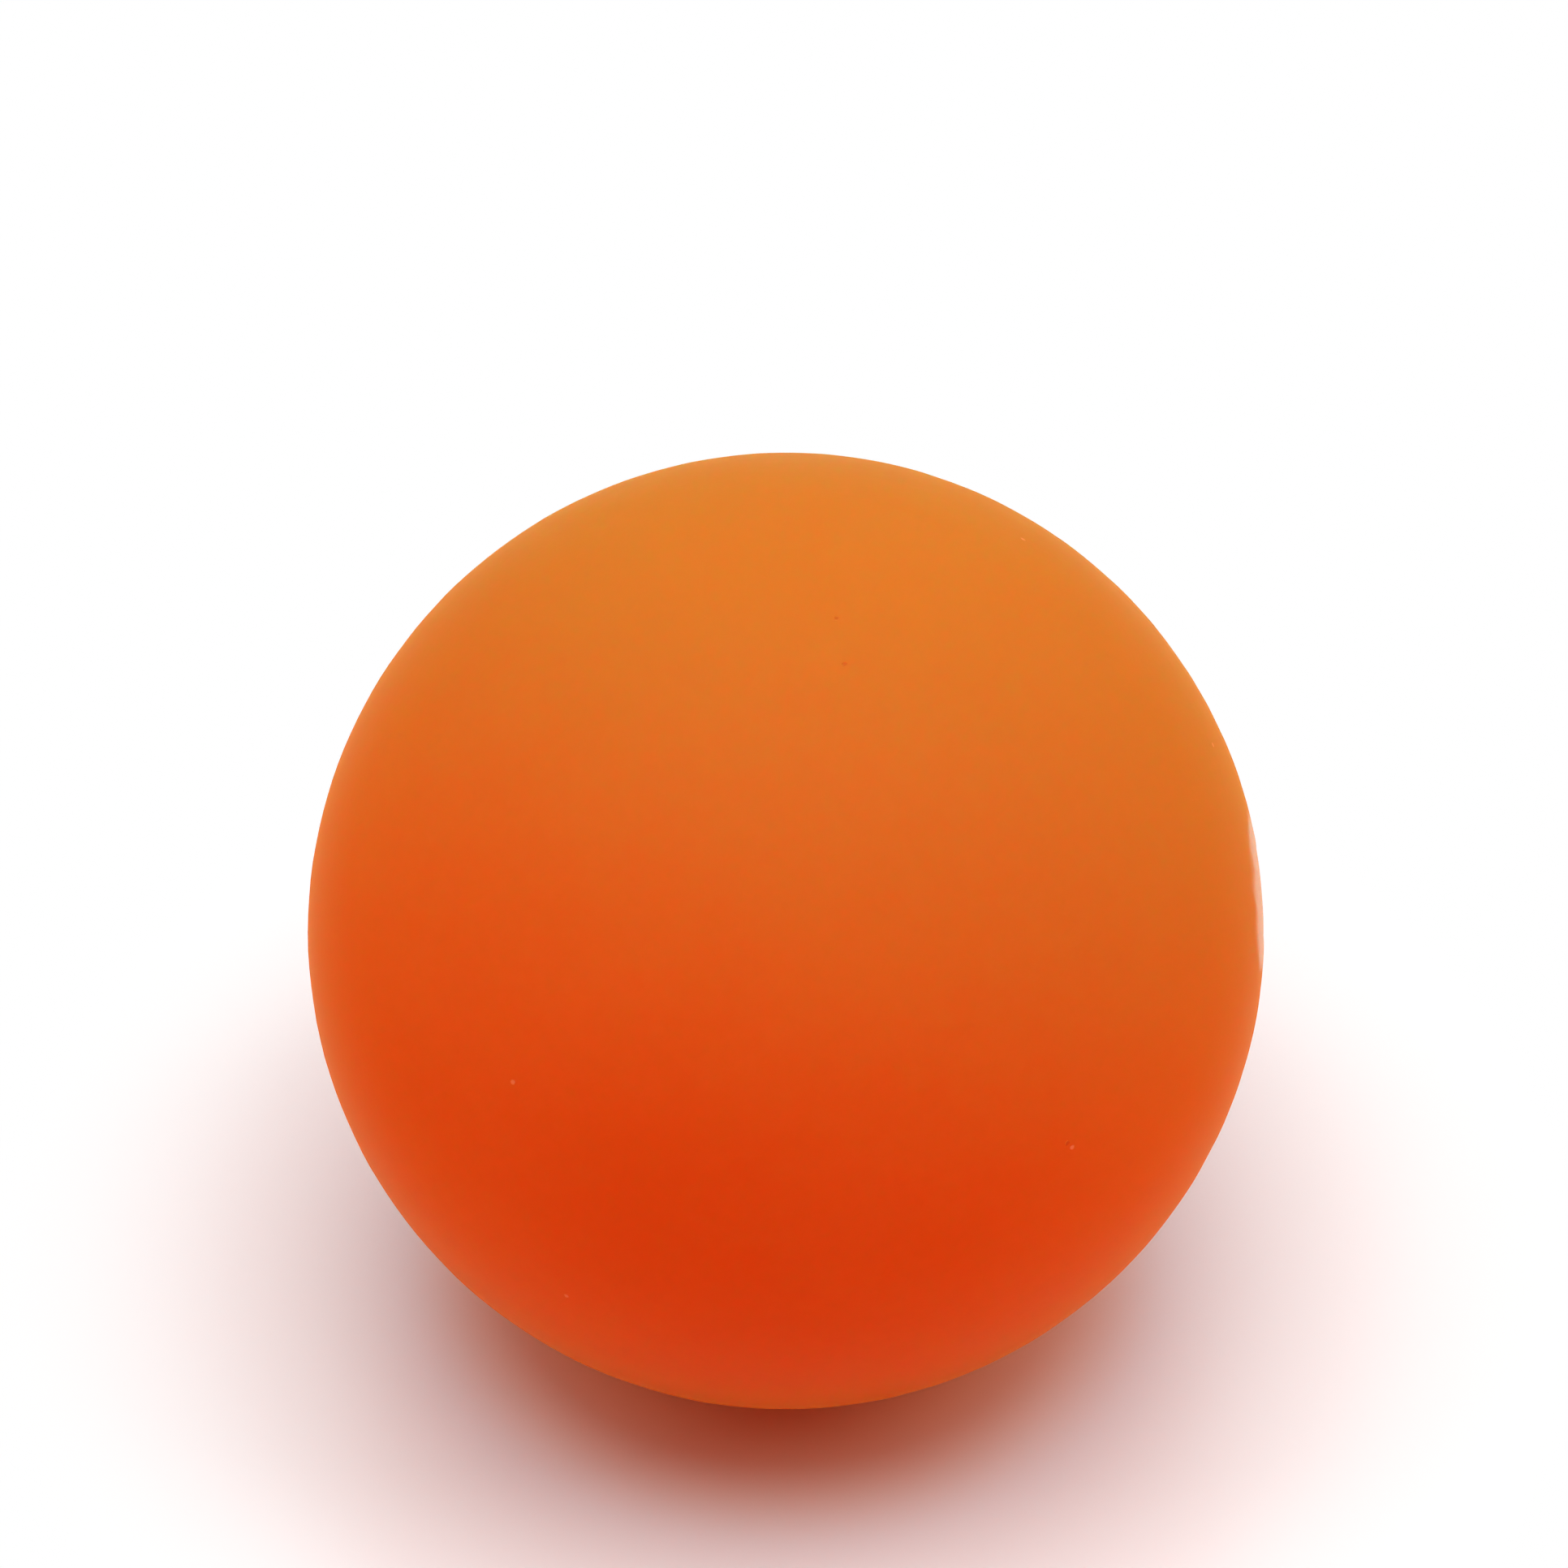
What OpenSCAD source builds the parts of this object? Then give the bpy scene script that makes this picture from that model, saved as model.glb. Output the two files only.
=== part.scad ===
// A solid rubber ball, moulded in one piece between two half-round cavities.
// The origin is the ball's centre, +Z is up and the ball lies as it does in the photograph.

/* [Ball] */
// Diameter of the ball, measured clear of the parting line
ball_d = 63; // [60:0.5:66]

/* [Parting line] */
// Width of the low raised line that the joint of the mould leaves round the ball
seam_w = 0.7; // [0.4:0.1:1.4]
// Height of that line above the ball
seam_h = 0.1; // [0.04:0.01:0.2]
// Tilt of the line's plane from level, in degrees, its far side up
seam_tilt = 45; // [0:1:90]

/* [Trimmed flash] */
// Diameter of the small flat that is left on the parting line where the flash tab was dressed off
land_d = 5; // [2:0.2:8]
// Place of that flat along the parting line, in degrees from the ball's right-hand side
land_turn = 4.6; // [-90:0.2:90]

/* [Hidden] */
$fn = 180;

ball_r = ball_d / 2;

// The raised line is a ring whose round section stands seam_h proud over a width of seam_w
bead_r = (pow(seam_w / 2, 2) + pow(seam_h, 2)) / (2 * seam_h);
bead_path_r = ball_r + seam_h - bead_r;

// The flat is a shallow slice: its depth follows from its diameter on the ball
land_plane = sqrt(pow(ball_r, 2) - pow(land_d / 2, 2));

// Run of every cut past the surface that it leaves
overrun = 1;
// Half the length of the raised line that the slice takes away
land_reach = sqrt(pow(ball_r + seam_h, 2) - pow(land_plane, 2));

// Raised line that the joint between the two mould halves leaves
module parting_line() {
    rotate_extrude()
        translate([bead_path_r, 0])
            circle(r = bead_r);
}

// What the dressing wheel takes off where the flash tab was torn away
module dressing_cut() {
    rotate([0, 0, land_turn])
        translate([land_plane, 0, 0])
            rotate([0, 90, 0])
                cylinder(h = ball_r + seam_h - land_plane + overrun, r = land_reach + overrun);
}

// The whole ball: one body of rubber, the same from the skin to the centre
module ball() {
    color([0.88, 0.37, 0.1])
        rotate([seam_tilt, 0, 0])
            difference() {
                union() {
                    sphere(d = ball_d);
                    parting_line();
                }
                dressing_cut();
            }
}

ball();
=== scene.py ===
import math

import bpy
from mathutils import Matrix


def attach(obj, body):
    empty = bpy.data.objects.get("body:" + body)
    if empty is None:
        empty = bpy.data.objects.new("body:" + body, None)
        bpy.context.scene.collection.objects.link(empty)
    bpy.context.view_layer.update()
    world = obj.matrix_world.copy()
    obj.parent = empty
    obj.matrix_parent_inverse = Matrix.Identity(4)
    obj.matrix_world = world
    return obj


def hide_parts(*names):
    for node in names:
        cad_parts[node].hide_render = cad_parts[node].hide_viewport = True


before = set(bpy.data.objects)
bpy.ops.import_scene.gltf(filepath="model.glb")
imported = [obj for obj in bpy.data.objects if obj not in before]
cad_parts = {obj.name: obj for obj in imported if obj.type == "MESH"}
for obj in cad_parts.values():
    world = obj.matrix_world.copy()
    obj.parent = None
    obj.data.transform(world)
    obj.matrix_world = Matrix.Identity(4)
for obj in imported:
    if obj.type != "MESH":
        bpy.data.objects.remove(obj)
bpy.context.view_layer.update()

mm = 0.001
nodesPerRow, nodeStep = 10, (210, -260)      # how a tree is laid out in the node editor
socketKinds = {int: "NodeSocketInt", float: "NodeSocketFloat", tuple: "NodeSocketVector"}


# One node, laid out beside the last one, with its settings and what goes into its sockets
def addNode(tree, kind, takes=None, **settings):
    node = tree.nodes.new(kind)
    row, column = divmod(len(tree.nodes), nodesPerRow)
    node.location = (column * nodeStep[0], row * nodeStep[1])
    for name, value in settings.items():
        setattr(node, name, value)
    for name, value in (takes or {}).items():
        give(tree, node.inputs[name], value)
    return node


# A socket takes either another node's output or a plain value
def give(tree, socket, value):
    if isinstance(value, bpy.types.NodeSocket):
        tree.links.new(value, socket)
    else:
        socket.default_value = value


def calc(tree, operation, *values):
    return addNode(tree, "ShaderNodeMath", dict(enumerate(values)), operation=operation).outputs[0]


# Smooth step: 0 at "start", 1 at "end", whichever way round they lie
def easeStep(tree, value, start, end):
    step = addNode(tree, "ShaderNodeMapRange", {"Value": value, "From Min": start, "From Max": end},
                   interpolation_type="SMOOTHSTEP")
    return step.outputs["Result"]


# A Mix node keeps its share at input 0, its two colours at 6 and 7 and their mixture at output 2
def mixColour(tree, share, colourA, colourB):
    return addNode(tree, "ShaderNodeMix", {0: share, 6: colourA, 7: colourB}, data_type="RGBA").outputs[2]


# A tree with named inputs. Each is given by the value that it has here or, where a link comes in, by its kind
def newTree(name, kind, takes, gives):
    tree = bpy.data.node_groups.new(name, kind)
    for label, value in takes.items():
        linked = isinstance(value, str)
        socket = tree.interface.new_socket(name=label, in_out="INPUT",
                                           socket_type=value if linked else socketKinds[type(value)])
        if not linked:
            socket.default_value = value
    for label, socketType in gives.items():
        tree.interface.new_socket(name=label, in_out="OUTPUT", socket_type=socketType)
    return tree, tree.nodes.new("NodeGroupInput").outputs


def finishTree(tree, **gives):
    end = addNode(tree, "NodeGroupOutput")
    for label, value in gives.items():
        tree.links.new(value, end.inputs[label])
    return tree


def useGroup(tree, group, **takes):
    return addNode(tree, "ShaderNodeGroup", takes, node_tree=group).outputs


# Camera: a long lens from the front, half way up, with the ball a little below the middle of the picture
shot = {
    "height": 45,                        # degrees above the floor
    "distance": 0.6,                     # from the ball's centre
    "pictureSide": 1932,                 # pixels
    "ballRadius": 588.3,                 # pixels, as the ball's outline stands in the picture
    "ballCentre": (968.45, 1146.45),
    "sensor": 36,                        # mm
    "clip": (0.01, 50),
}


def makeCamera(plan, ballRadius):
    side = plan["pictureSide"]
    focalPixels = plan["ballRadius"] / math.tan(math.asin(ballRadius / plan["distance"]))
    lens = bpy.data.cameras.new("studioCamera")
    lens.sensor_width = plan["sensor"]
    lens.lens = focalPixels * plan["sensor"] / side
    lens.clip_start, lens.clip_end = plan["clip"]
    camera = bpy.data.objects.new("studioCamera", lens)
    bpy.context.scene.collection.objects.link(camera)
    height = math.radians(plan["height"])
    camera.location = (0, -plan["distance"] * math.cos(height), plan["distance"] * math.sin(height))
    # it aims above the ball and a hair to its left, so that the ball sits lower and to the right
    lift = math.atan((plan["ballCentre"][1] - side / 2) / focalPixels)
    swing = math.atan((plan["ballCentre"][0] - side / 2) / focalPixels)
    camera.rotation_euler = (math.radians(90) - height + lift, 0, swing / math.cos(height))
    bpy.context.scene.camera = camera


# Lamps: one big softbox overhead, weaker ones half way up on both sides and a faint one in front. A lamp's level
# is how bright a white card at the ball shows when it faces that lamp: 1 is white.
studio = {
    "softboxes": [
        # name, turn from behind the ball towards its right, height, apparent size in degrees, level
        ("overhead", 0, 90, 60, 0.82),
        ("rightHigh", 90, 45, 40, 0.23),
        ("leftHigh", -90, 45, 40, 0.15),
        ("frontHigh", 180, 60, 40, 0.03),
    ],
    "lampDistance": 1.0,
    "surround": (0.12, 0.06, 0.045),     # what little the room gives back, warmed by the ball
    "backdrop": (1, 1, 1),               # what the camera sees behind the ball
}


def makeLights(plan):
    distance = plan["lampDistance"]
    for name, turn, height, size, level in plan["softboxes"]:
        turn, height, halfSize = math.radians(turn), math.radians(height), math.radians(size / 2)
        lamp = bpy.data.lights.new(name, "AREA")
        lamp.shape = "DISK"
        lamp.size = 2 * distance * math.tan(halfSize)
        # a wide lamp's rim is further off and slants, so it takes more power for the same level
        lamp.energy = math.pi ** 2 * distance ** 2 * level / math.cos(halfSize) ** 2
        softbox = bpy.data.objects.new(name, lamp)
        bpy.context.scene.collection.objects.link(softbox)
        softbox.location = [distance * part for part in (
            math.sin(turn) * math.cos(height), math.cos(turn) * math.cos(height), math.sin(height))]
        softbox.rotation_euler = (-softbox.location).to_track_quat("-Z", "Y").to_euler()


# 1 for what the camera sees, also in a gloss or through glass, 0 for the light that reaches the object
def seenDirectly(tree):
    path = addNode(tree, "ShaderNodeLightPath").outputs
    seen = calc(tree, "MAXIMUM", path["Is Camera Ray"], path["Is Glossy Ray"])
    return calc(tree, "MAXIMUM", seen, path["Is Transmission Ray"])


def makeSurround(plan):
    world = bpy.data.worlds.new("studioSurround")
    bpy.context.scene.world = world
    world.use_nodes = True
    tree = world.node_tree
    tree.nodes.clear()
    colour = mixColour(tree, seenDirectly(tree), (*plan["surround"], 1), (*plan["backdrop"], 1))
    light = addNode(tree, "ShaderNodeBackground", {"Color": colour, "Strength": 1.0})
    addNode(tree, "ShaderNodeOutputWorld", {"Surface": light.outputs[0]})


# Floor: a plain pale sheet. Near the ball it keeps the ball's shadow, with a painted glow of the ball's colour
# round its foot; further out it runs into the backdrop.
bench = {
    "side": 4.0,
    "paper": (0.965, 0.98, 0.985),
    "bounce": (0.92, 0.40, 0.40),        # the light it sends back up, warmed between the ball and the paper
    "polish": 0.30,                      # roughness
    "paintedFootGlowTint": (0.985, 0.66, 0.34),     # painted glow: the paper round the ball's foot tinted with the ball's colour, in place of light through the rubber
    "paintedFootGlow": 0.06,                    # strength of the painted glow that the paper emits in the shadow, and its colour
    "paintedFootGlowColour": (1, 0.08, 0.03),
    "paintedFootGlowReach": (0.0338, 0.0415),       # distances from the ball's centre over which that fades out
    "backdrop": (1, 1, 1),
    "backdropReach": (0.048, 0.064),     # and over which the paper turns into backdrop
}


def makeFloor(plan, ballRadius):
    half = plan["side"] / 2
    sheet = bpy.data.meshes.new("floor")
    corners = [(-half, -half), (half, -half), (half, half), (-half, half)]
    sheet.from_pydata([(x, y, -ballRadius) for x, y in corners], [], [(0, 1, 2, 3)])
    floor = bpy.data.objects.new("floor", sheet)
    bpy.context.scene.collection.objects.link(floor)
    paper = bpy.data.materials.new("palePaper")
    paper.use_nodes = True
    tree = paper.node_tree
    tree.nodes.clear()
    seen = seenDirectly(tree)
    spot = addNode(tree, "ShaderNodeTexCoord").outputs["Object"]
    reach = addNode(tree, "ShaderNodeVectorMath", {0: spot}, operation="LENGTH").outputs["Value"]
    # painted glow: round the ball's foot the paper is tinted with the ball's colour and emits a little of it
    paintedGlowShare = calc(tree, "SUBTRACT", 1.0, easeStep(tree, reach, *plan["paintedFootGlowReach"]))
    seenPaper = mixColour(tree, paintedGlowShare, (*plan["paper"], 1), (*plan["paintedFootGlowTint"], 1))
    matt = addNode(tree, "ShaderNodeBsdfPrincipled", {
        "Base Color": mixColour(tree, seen, (*plan["bounce"], 1), seenPaper), "Roughness": plan["polish"],
        "Emission Color": (*plan["paintedFootGlowColour"], 1),
        "Emission Strength": calc(tree, "MULTIPLY", calc(tree, "MULTIPLY", paintedGlowShare, seen), plan["paintedFootGlow"])})
    backdrop = addNode(tree, "ShaderNodeEmission", {"Color": (*plan["backdrop"], 1), "Strength": 1.0})
    far = easeStep(tree, reach, *plan["backdropReach"])
    blend = addNode(tree, "ShaderNodeMixShader", {
        0: calc(tree, "MULTIPLY", far, seen), 1: matt.outputs[0], 2: backdrop.outputs[0]})
    addNode(tree, "ShaderNodeOutputMaterial", {"Surface": blend.outputs[0]})
    sheet.materials.append(paper)


# Ball: rings and columns laid about the parting line, close together near the line and the trimmed flat.
# These are also the names of the Geometry Nodes tree's inputs.
ballPlan = {
    "Diameter": 63 * mm,
    "Line Width": 0.7 * mm,
    "Line Height": 0.1 * mm,
    "Line Unevenness": 0.3,              # share of the height that comes and goes along the line
    "Line Tilt": math.radians(45),       # far side up
    "Flat Diameter": 5 * mm,
    "Flat Turn": math.radians(4.6),      # along the line from the ball's right-hand side
    "Columns": 400,
    "Rows": 230,
    "Column Crowding": 0.72,             # 0 spreads the columns evenly, towards 1 they gather at the flat
    "Row Crowding": 0.88,                # the same for the rings, which gather at the line
    "Wear Scale": 9.0,                   # how often the line's height comes and goes
    "Seed": 11.0,
    "Weld": 0.001 * mm,                  # closes the seam and the two poles
}


# Even steps from -1 to 1, drawn together in the middle
def crowd(tree, step, crowding):
    even = calc(tree, "MULTIPLY", step, calc(tree, "SUBTRACT", 1.0, crowding))
    cubed = calc(tree, "POWER", calc(tree, "ABSOLUTE", step), 3.0)
    return calc(tree, "MULTIPLY_ADD", cubed, calc(tree, "MULTIPLY", crowding, calc(tree, "SIGN", step)), even)


# The raised line is the outside of a ring of round section, standing its height above the ball. This gives how far
# it stands over the ball at the angle "across" from it, below zero where the ball covers the ring.
def lineRidge(tree, radius, width, height, cosAcross, sinAcross):
    halfWidth = calc(tree, "MULTIPLY", width, 0.5)
    squares = calc(tree, "ADD", calc(tree, "MULTIPLY", halfWidth, halfWidth),
                   calc(tree, "MULTIPLY", height, height))
    section = calc(tree, "DIVIDE", squares, calc(tree, "MULTIPLY", height, 2.0))
    ring = calc(tree, "SUBTRACT", calc(tree, "ADD", radius, height), section)
    under = calc(tree, "POWER", calc(tree, "MULTIPLY", ring, sinAcross), 2.0)
    over = calc(tree, "SUBTRACT", calc(tree, "MULTIPLY", section, section), under)
    reach = calc(tree, "SQRT", calc(tree, "MAXIMUM", over, 0.0))
    return calc(tree, "SUBTRACT", calc(tree, "MULTIPLY_ADD", ring, cosAcross, reach), radius)


def mouldedBallTree(plan):
    tree, sizes = newTree("mouldedBall", "GeometryNodeTree", {**plan, "Rubber": "NodeSocketMaterial"},
                          {"Geometry": "NodeSocketGeometry"})
    grid = addNode(tree, "GeometryNodeMeshGrid", {
        "Size X": 2.0, "Size Y": 2.0,
        "Vertices X": calc(tree, "ADD", sizes["Columns"], 1.0),
        "Vertices Y": calc(tree, "ADD", sizes["Rows"], 1.0)}).outputs["Mesh"]
    place = addNode(tree, "GeometryNodeInputPosition").outputs[0]
    step = addNode(tree, "ShaderNodeSeparateXYZ", {0: place}).outputs
    around = calc(tree, "MULTIPLY", crowd(tree, step["X"], sizes["Column Crowding"]), math.pi)
    across = calc(tree, "MULTIPLY", crowd(tree, step["Y"], sizes["Row Crowding"]), math.pi / 2)
    cosAcross, sinAcross = calc(tree, "COSINE", across), calc(tree, "SINE", across)
    way = addNode(tree, "ShaderNodeCombineXYZ", {
        "X": calc(tree, "MULTIPLY", cosAcross, calc(tree, "COSINE", around)),
        "Y": calc(tree, "MULTIPLY", cosAcross, calc(tree, "SINE", around)),
        "Z": sinAcross}).outputs[0]
    radius = calc(tree, "MULTIPLY", sizes["Diameter"], 0.5)

    # a worn mould leaves the raised line lower in places
    ridge = lineRidge(tree, radius, sizes["Line Width"], sizes["Line Height"], cosAcross, sinAcross)
    wear = addNode(tree, "ShaderNodeTexNoise", {
        "Vector": way, "W": sizes["Seed"], "Scale": sizes["Wear Scale"], "Detail": 3.0},
        noise_dimensions="4D").outputs[0]
    kept = calc(tree, "SUBTRACT", 1.0, calc(tree, "MULTIPLY", sizes["Line Unevenness"],
                                            easeStep(tree, wear, 0.35, 0.65)))
    rounded = calc(tree, "MULTIPLY_ADD", calc(tree, "MAXIMUM", ridge, 0.0), kept, radius)

    # the flat is a plane square to the way out at column 0
    halfFlat = calc(tree, "MULTIPLY", sizes["Flat Diameter"], 0.5)
    plane = calc(tree, "SQRT", calc(tree, "SUBTRACT", calc(tree, "MULTIPLY", radius, radius),
                                    calc(tree, "MULTIPLY", halfFlat, halfFlat)))
    facing = addNode(tree, "ShaderNodeSeparateXYZ", {0: way}).outputs["X"]
    sliced = calc(tree, "DIVIDE", plane, calc(tree, "MAXIMUM", facing, 0.5))
    spot = addNode(tree, "ShaderNodeVectorMath", {0: way, "Scale": calc(tree, "MINIMUM", rounded, sliced)},
                   operation="SCALE").outputs["Vector"]
    turned = addNode(tree, "ShaderNodeVectorRotate", {"Vector": spot, "Angle": sizes["Flat Turn"]},
                     rotation_type="Z_AXIS").outputs[0]
    tilted = addNode(tree, "ShaderNodeVectorRotate", {"Vector": turned, "Angle": sizes["Line Tilt"]},
                     rotation_type="X_AXIS").outputs[0]

    # how far each point lies from the parting line, and from the flat along it
    marked = grid
    for name, angle in (("acrossLine", across), ("alongLine", calc(tree, "ABSOLUTE", around))):
        marked = addNode(tree, "GeometryNodeStoreNamedAttribute", {
            "Geometry": marked, "Name": name, "Value": calc(tree, "MULTIPLY", angle, radius)},
            data_type="FLOAT", domain="POINT").outputs[0]
    shaped = addNode(tree, "GeometryNodeSetPosition", {"Geometry": marked, "Position": tilted}).outputs[0]
    closed = addNode(tree, "GeometryNodeMergeByDistance", {
        "Geometry": shaped, "Distance": sizes["Weld"]}).outputs[0]
    smooth = addNode(tree, "GeometryNodeSetShadeSmooth", {"Geometry": closed}).outputs[0]
    real = addNode(tree, "GeometryNodeRealizeInstances", {"Geometry": smooth}).outputs[0]
    finished = addNode(tree, "GeometryNodeSetMaterial", {
        "Geometry": real, "Material": sizes["Rubber"]}).outputs[0]
    return finishTree(tree, Geometry=finished)


def makeBall(plan, rubber):
    tree = mouldedBallTree(plan)
    blank = bpy.data.objects.new("ballBlank", bpy.data.meshes.new("ballBlank"))
    bpy.context.scene.collection.objects.link(blank)
    builder = blank.modifiers.new("mouldedBall", "NODES")
    builder.node_group = tree
    for socket in tree.interface.items_tree:
        if socket.in_out == "INPUT":
            builder[socket.identifier] = rubber if socket.name == "Rubber" else plan[socket.name]
    blank.update_tag()
    result = blank.evaluated_get(bpy.context.evaluated_depsgraph_get())
    shape = bpy.data.meshes.new_from_object(result)
    bpy.data.objects.remove(blank)
    shape.name = "rubberBall"
    ball = bpy.data.objects.new("rubberBall", shape)
    bpy.context.scene.collection.objects.link(ball)
    return ball


# Rubber: what its skin looks like
skin = {
    "deepOrange": (0.69, 0.092, 0.0060, 1),
    "lightOrange": (0.70, 0.102, 0.0080, 1),
    "cloudSize": 16 * mm,                # slow changes between the two
    "fleckSize": 1.4 * mm,               # and small ones
    "fleckShare": 0.4,
    "roughness": 0.50,
    "cloudRoughness": 0.06,              # how far it changes with the clouds
    "gloss": 0.018,                      # specular level
    "ior": 1.5,
    "translucency": 1.0,
    "glowDepth": (0.100, 0.003, 0.001),  # how far red, green and blue light travel inside
    "sheen": 0.5,                        # soft lift of the colour towards the outline
    "sheenTint": (0.9, 0.46, 0.045, 1),
    "sheenRoughness": 0.4,
    "paintedLitColour": (0.512, 0.169, 0.0160, 1),    # painted light: the yellower, duller side that faces the lamps
    "paintedLitWay": (0.27, 0.48, 0.83),              # where that side points
    "paintedLitReach": (-0.33, 0.82),                 # from none to all of it, as a share of the radius that way
    "paintedLitUnevenness": 0.2,
    "grainSize": 0.55 * mm,
    "grainHeight": 0.006 * mm,
    "rippleSize": 4 * mm,
    "rippleHeight": 0.012 * mm,
    "lineBand": 0.9 * mm,                # width of the rubbed band on each side of the line
    "lineShare": 0.06,                   # how pale the rubbing leaves it
    "lineRoughness": 0.08,
    "groundLength": 10.4 * mm,           # the ground place round the flat, along the line and across it
    "groundWidth": 14.2 * mm,
    "groundSquareness": 3.5,             # 2 gives it an oval outline, more a squarer one
    "groundRaggedness": 0.35,
    "groundColour": (0.92, 0.42, 0.13, 1),
    "groundShare": 0.28,
    "groundRoughness": 0.25,             # added under its thin gloss
    "groundCoatRoughness": 0.25,
    "groundCoatIor": 1.25,
    "strokes": (350.0, 3200.0),          # grinding strokes to the metre, along the line and across it
    "strokeHeight": 0.03 * mm,
    "speckRadius": 0.20 * mm,
    "speckColour": (0.92, 0.36, 0.14, 1),
    "speckShare": 0.6,
    "speckHeight": 0.04 * mm,
    # painted shade: the pits are drawn darker than the skin round them
    "paintedPitShade": (0.42, 0.07, 0.01, 1),
    "paintedPitShadeShare": 0.5,
    "pitDepth": 0.06 * mm,
    # specks and pits that show from the front, in mm to the right and up as one looks square at the line's plane
    "specks": [(-17.3, -9.6), (-14.1, -23.5), (18.2, -13.8), (15.4, 25.4), (27.8, 12.1), (27.5, 15.2)],
    "pits": [(3.7, 16.8), (3.2, 19.8), (17.9, -13.5)],
    "strewnCell": 9 * mm,                # the back has at most one speck to a cell of this size
    "strewnShare": 0.25,                 # and one in this share of the cells
}


# Two sizes of slow colour change, from 0 to 1
def cloudGroup(plan):
    tree, takes = newTree("rubberClouds", "ShaderNodeTree", {
        "Vector": "NodeSocketVector", "Cloud Scale": 1 / plan["cloudSize"], "Fleck Scale": 1 / plan["fleckSize"],
        "Fleck Share": plan["fleckShare"]}, {"Clouds": "NodeSocketFloat"})
    broad = addNode(tree, "ShaderNodeTexNoise", {
        "Vector": takes["Vector"], "Scale": takes["Cloud Scale"], "Detail": 2.0, "Roughness": 0.5}).outputs[0]
    fine = addNode(tree, "ShaderNodeTexNoise", {
        "Vector": takes["Vector"], "Scale": takes["Fleck Scale"], "Detail": 3.0, "Roughness": 0.6}).outputs[0]
    broadShare = calc(tree, "SUBTRACT", 1.0, takes["Fleck Share"])
    both = calc(tree, "ADD", calc(tree, "MULTIPLY", broad, broadShare),
                calc(tree, "MULTIPLY", fine, takes["Fleck Share"]))
    return finishTree(tree, Clouds=easeStep(tree, both, 0.32, 0.68))


# Skin relief: fine grain from the mould on slow ripples, as a height in metres
def grainGroup(plan):
    tree, takes = newTree("mouldGrain", "ShaderNodeTree", {
        "Vector": "NodeSocketVector", "Grain Scale": 1 / plan["grainSize"], "Grain Height": plan["grainHeight"],
        "Ripple Scale": 1 / plan["rippleSize"], "Ripple Height": plan["rippleHeight"]},
        {"Relief": "NodeSocketFloat"})
    heights = []
    for label, detail in (("Grain", 2.0), ("Ripple", 1.0)):
        noise = addNode(tree, "ShaderNodeTexNoise", {
            "Vector": takes["Vector"], "Scale": takes[label + " Scale"], "Detail": detail}).outputs[0]
        heights.append(calc(tree, "MULTIPLY", noise, takes[label + " Height"]))
    return finishTree(tree, Relief=calc(tree, "ADD", *heights))


# Painted light: the side that faces the lamps is drawn yellower and duller, broken up a little by the clouds
def paintedLitGroup(plan, radius):
    start, end = plan["paintedLitReach"]
    tree, takes = newTree("paintedLitSide", "ShaderNodeTree", {
        "Vector": "NodeSocketVector", "Clouds": "NodeSocketFloat", "Way": plan["paintedLitWay"], "Radius": radius,
        "Start": start, "End": end, "Unevenness": plan["paintedLitUnevenness"]}, {"Paled": "NodeSocketFloat"})
    out = addNode(tree, "ShaderNodeVectorMath", {0: takes["Vector"], 1: takes["Way"]},
                  operation="DOT_PRODUCT").outputs["Value"]
    lying = easeStep(tree, calc(tree, "DIVIDE", out, takes["Radius"]), takes["Start"], takes["End"])
    least = calc(tree, "SUBTRACT", 1.0, calc(tree, "MULTIPLY", takes["Unevenness"], 0.5))
    uneven = calc(tree, "MULTIPLY_ADD", takes["Clouds"], takes["Unevenness"], least)
    return finishTree(tree, Paled=calc(tree, "MULTIPLY", lying, uneven))


# A round fleck at one place, with a slightly uneven outline
def speckGroup(plan):
    tree, takes = newTree("skinSpeck", "ShaderNodeTree", {
        "Vector": "NodeSocketVector", "Spot": "NodeSocketVector", "Radius": plan["speckRadius"]},
        {"Speck": "NodeSocketFloat"})
    wobble = addNode(tree, "ShaderNodeTexNoise", {"Vector": takes["Vector"], "Scale": 5000.0}).outputs[0]
    apart = addNode(tree, "ShaderNodeVectorMath", {0: takes["Vector"], 1: takes["Spot"]},
                    operation="DISTANCE").outputs["Value"]
    ragged = calc(tree, "MULTIPLY", apart, calc(tree, "ADD", wobble, 0.5))
    edge = calc(tree, "MULTIPLY", takes["Radius"], 0.55)
    return finishTree(tree, Speck=easeStep(tree, ragged, takes["Radius"], edge))


# Flecks strewn over the half of the ball behind the line, one in every few cells
def strewnGroup(plan):
    tree, takes = newTree("strewnSpecks", "ShaderNodeTree", {
        "Vector": "NodeSocketVector", "Cell Size": plan["strewnCell"], "Radius": plan["speckRadius"],
        "Share": plan["strewnShare"]}, {"Speck": "NodeSocketFloat"})
    cells = addNode(tree, "ShaderNodeTexVoronoi", {
        "Vector": takes["Vector"], "Scale": calc(tree, "DIVIDE", 1.0, takes["Cell Size"])}).outputs
    apart = calc(tree, "MULTIPLY", cells["Distance"], takes["Cell Size"])
    fleck = easeStep(tree, apart, takes["Radius"], calc(tree, "MULTIPLY", takes["Radius"], 0.5))
    draw = addNode(tree, "ShaderNodeSeparateColor", {0: cells["Color"]}).outputs["Red"]
    kept = calc(tree, "MULTIPLY", fleck, calc(tree, "LESS_THAN", draw, takes["Share"]))
    behind = addNode(tree, "ShaderNodeSeparateXYZ", {0: takes["Vector"]}).outputs["Z"]
    return finishTree(tree, Speck=calc(tree, "MULTIPLY", kept, calc(tree, "LESS_THAN", behind, 0.0)))


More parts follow.
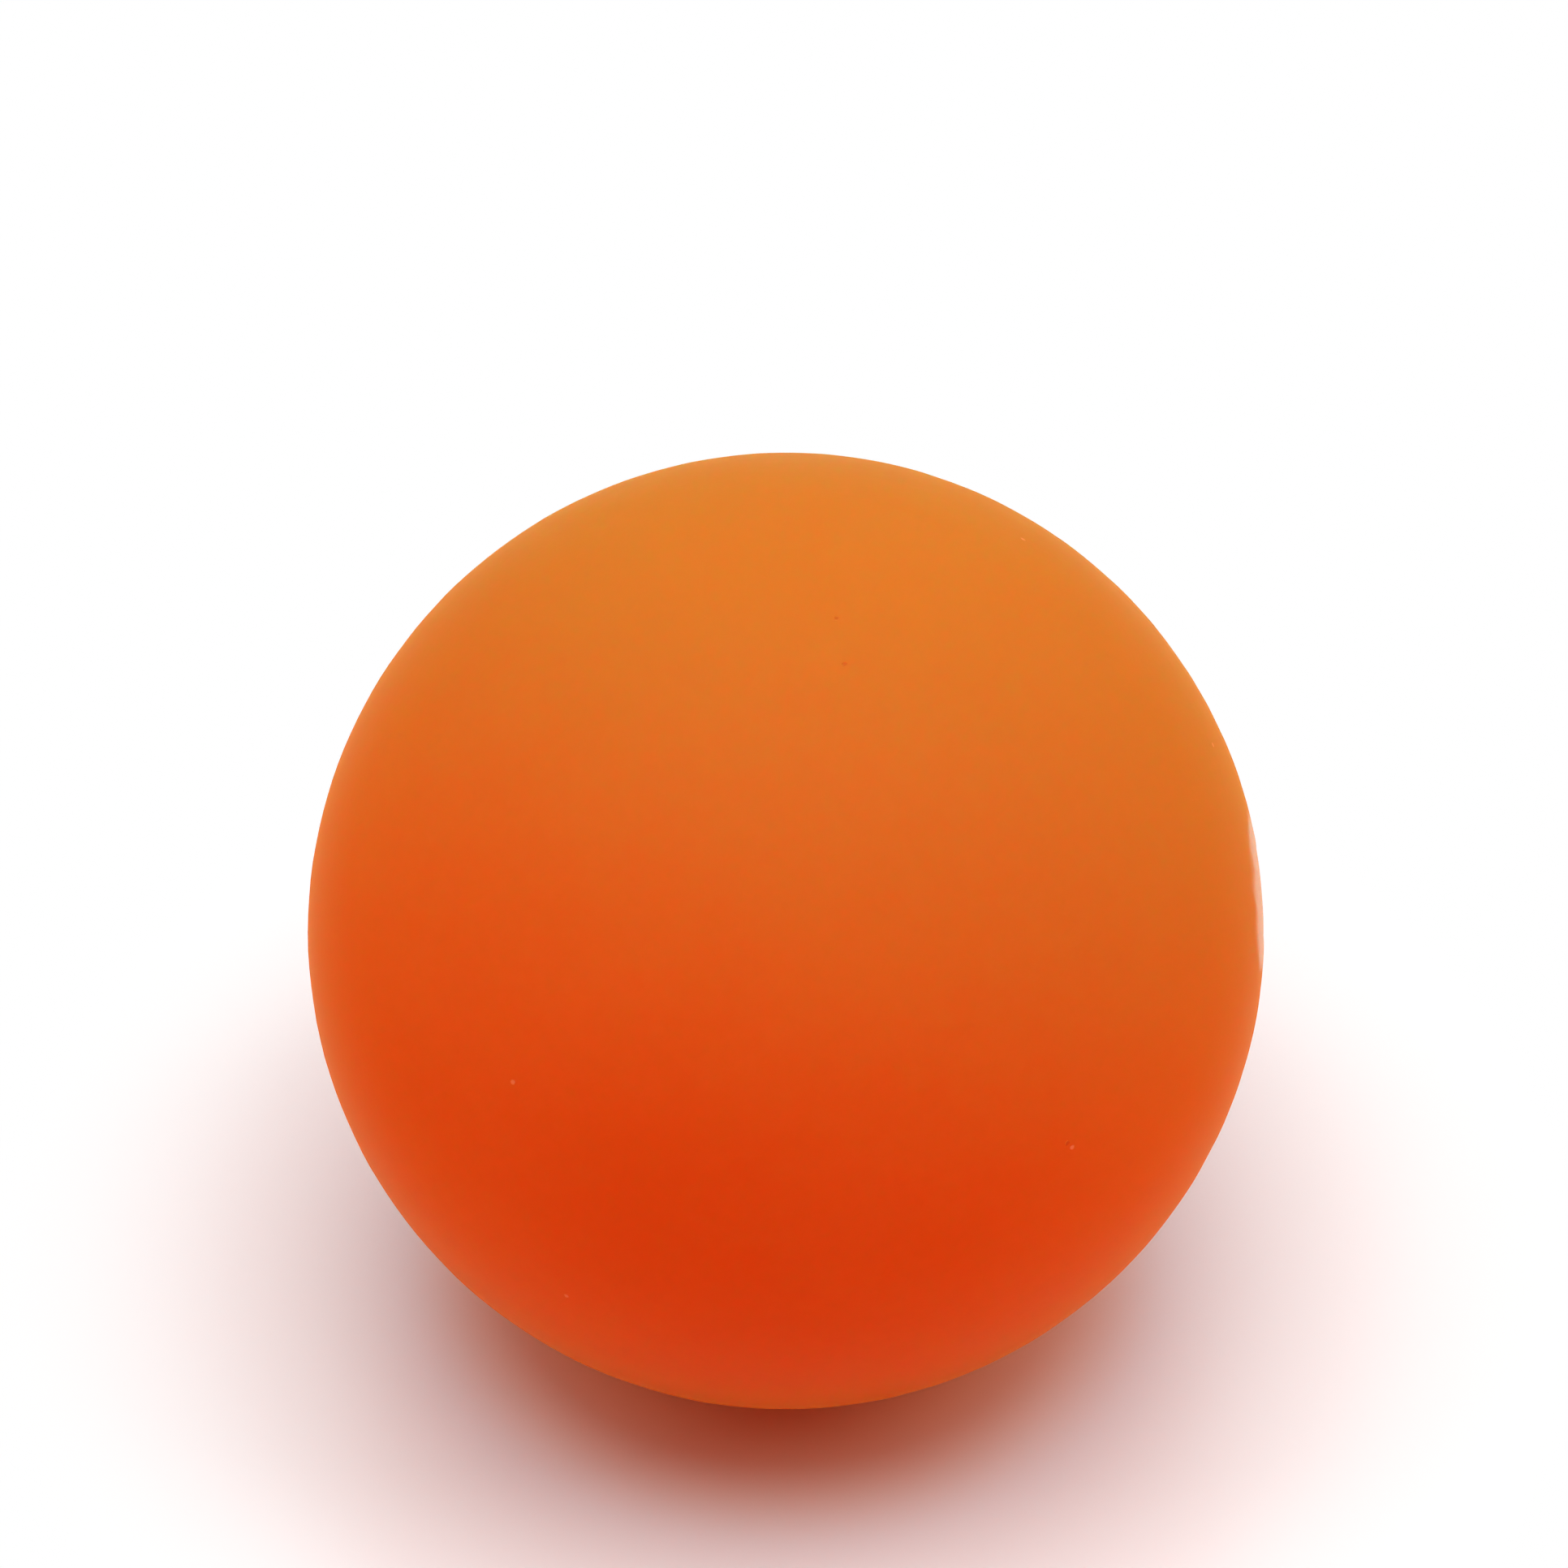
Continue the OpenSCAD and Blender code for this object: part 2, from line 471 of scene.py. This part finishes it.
# The rubbed band beside the parting line and the ground place round the flat
def dressingGroup(plan):
    tree, takes = newTree("dressedLine", "ShaderNodeTree", {
        "Vector": "NodeSocketVector", "Across": "NodeSocketFloat", "Along": "NodeSocketFloat",
        "Band": plan["lineBand"], "Length": plan["groundLength"], "Width": plan["groundWidth"],
        "Squareness": plan["groundSquareness"], "Raggedness": plan["groundRaggedness"],
        "Strokes Along": plan["strokes"][0], "Strokes Across": plan["strokes"][1]},
        {"Line": "NodeSocketFloat", "Ground": "NodeSocketFloat", "Strokes": "NodeSocketFloat"})
    rough = addNode(tree, "ShaderNodeTexNoise", {
        "Vector": takes["Vector"], "Scale": 420.0, "Detail": 3.0}).outputs[0]
    far = calc(tree, "DIVIDE", calc(tree, "ABSOLUTE", takes["Across"]), takes["Band"])
    line = easeStep(tree, calc(tree, "MULTIPLY_ADD", rough, 0.8, far), 1.4, 0.7)
    parts = []
    for label, size in (("Along", "Length"), ("Across", "Width")):
        part = calc(tree, "DIVIDE", calc(tree, "MULTIPLY", takes[label], 2.0), takes[size])
        parts.append(calc(tree, "POWER", calc(tree, "ABSOLUTE", part), takes["Squareness"]))
    inside = calc(tree, "POWER", calc(tree, "ADD", *parts), calc(tree, "DIVIDE", 1.0, takes["Squareness"]))
    # grinding leaves short strokes along the line and a ragged edge
    strokeAt = addNode(tree, "ShaderNodeCombineXYZ", {
        "X": calc(tree, "MULTIPLY", takes["Along"], takes["Strokes Along"]),
        "Y": calc(tree, "MULTIPLY", takes["Across"], takes["Strokes Across"])}).outputs[0]
    strokes = addNode(tree, "ShaderNodeTexNoise", {"Vector": strokeAt, "Scale": 1.0, "Detail": 3.0}).outputs[0]
    ragged = calc(tree, "MULTIPLY_ADD", rough, takes["Raggedness"], inside)
    ragged = calc(tree, "MULTIPLY_ADD", strokes, takes["Raggedness"], ragged)
    return finishTree(tree, Line=line, Ground=easeStep(tree, ragged, 1.44, 1.2),
                      Strokes=easeStep(tree, strokes, 0.3, 0.7))


def makeRubber(plan, ball):
    rubber = bpy.data.materials.new("orangeRubber")
    rubber.use_nodes = True
    tree = rubber.node_tree
    tree.nodes.clear()
    radius = ball["Diameter"] / 2
    spot = addNode(tree, "ShaderNodeTexCoord").outputs["Object"]
    # the same place, turned so that the parting line lies level and the front half faces up
    levelSpot = addNode(tree, "ShaderNodeMapping", {
        "Vector": spot, "Rotation": (-ball["Line Tilt"], 0, 0)}).outputs[0]
    across, along = [addNode(tree, "ShaderNodeAttribute", attribute_name=name).outputs["Fac"]
                     for name in ("acrossLine", "alongLine")]

    clouds = useGroup(tree, cloudGroup(plan), Vector=spot)["Clouds"]
    relief = useGroup(tree, grainGroup(plan), Vector=spot)["Relief"]
    # painted light: lighter and yellower on the side towards the lamps
    paintedLit = useGroup(tree, paintedLitGroup(plan, radius), Vector=spot, Clouds=clouds)["Paled"]
    dressed = useGroup(tree, dressingGroup(plan), Vector=spot, Across=across, Along=along)
    line, ground = dressed["Line"], dressed["Ground"]
    marks = {"specks": useGroup(tree, strewnGroup(plan), Vector=levelSpot)["Speck"], "pits": None}
    oneSpeck = speckGroup(plan)
    for kind in marks:
        for right, up in plan[kind]:
            front = math.sqrt(radius ** 2 - (right * mm) ** 2 - (up * mm) ** 2)
            mark = useGroup(tree, oneSpeck, Vector=levelSpot, Spot=(right * mm, up * mm, front))["Speck"]
            marks[kind] = calc(tree, "MAXIMUM", marks[kind], mark) if marks[kind] else mark

    groundShare = plan["groundShare"]
    groundPale = calc(tree, "MULTIPLY_ADD", dressed["Strokes"], groundShare, groundShare / 2)
    colour = mixColour(tree, clouds, plan["deepOrange"], plan["lightOrange"])
    for share, over in ((paintedLit, "paintedLitColour"),
                        (calc(tree, "MULTIPLY", line, plan["lineShare"]), "groundColour"),
                        (calc(tree, "MULTIPLY", ground, groundPale), "groundColour"),
                        # painted shade inside the pits
                        (calc(tree, "MULTIPLY", marks["pits"], plan["paintedPitShadeShare"]), "paintedPitShade"),
                        (calc(tree, "MULTIPLY", marks["specks"], plan["speckShare"]), "speckColour")):
        colour = mixColour(tree, share, colour, plan[over])

    cloudRoughness = plan["cloudRoughness"]
    roughness = calc(tree, "MULTIPLY_ADD", clouds, cloudRoughness, plan["roughness"] - cloudRoughness / 2)
    for mask, more in ((ground, "groundRoughness"), (line, "lineRoughness")):
        roughness = calc(tree, "MULTIPLY_ADD", mask, plan[more], roughness)

    for mask, height in ((marks["specks"], plan["speckHeight"]), (marks["pits"], -plan["pitDepth"]),
                         (calc(tree, "MULTIPLY", dressed["Strokes"], ground), plan["strokeHeight"])):
        relief = calc(tree, "MULTIPLY_ADD", mask, height, relief)
    bump = addNode(tree, "ShaderNodeBump", {"Height": relief, "Strength": 1.0, "Distance": 1.0}).outputs[0]

    shader = addNode(tree, "ShaderNodeBsdfPrincipled", {
        "Base Color": colour, "Roughness": roughness, "Normal": bump,
        "IOR": plan["ior"], "Specular IOR Level": plan["gloss"],
        "Subsurface Weight": plan["translucency"], "Subsurface Radius": plan["glowDepth"],
        "Subsurface Scale": 1.0,
        "Sheen Weight": plan["sheen"], "Sheen Roughness": plan["sheenRoughness"], "Sheen Tint": plan["sheenTint"],
        "Coat Weight": ground, "Coat Roughness": plan["groundCoatRoughness"], "Coat IOR": plan["groundCoatIor"]},
        subsurface_method="RANDOM_WALK")
    addNode(tree, "ShaderNodeOutputMaterial", {"Surface": shader.outputs[0]})
    return rubber


bpy.context.scene.view_settings.view_transform = "Standard"
makeCamera(shot, ballPlan["Diameter"] / 2)
makeLights(studio)
makeSurround(studio)
makeFloor(bench, ballPlan["Diameter"] / 2)
print("studio ready")

ball = makeBall(ballPlan, makeRubber(skin, ballPlan))
print("ball shaped:", len(ball.data.vertices), "points", len(ball.data.polygons), "faces")
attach(ball, "root")
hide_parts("ball")
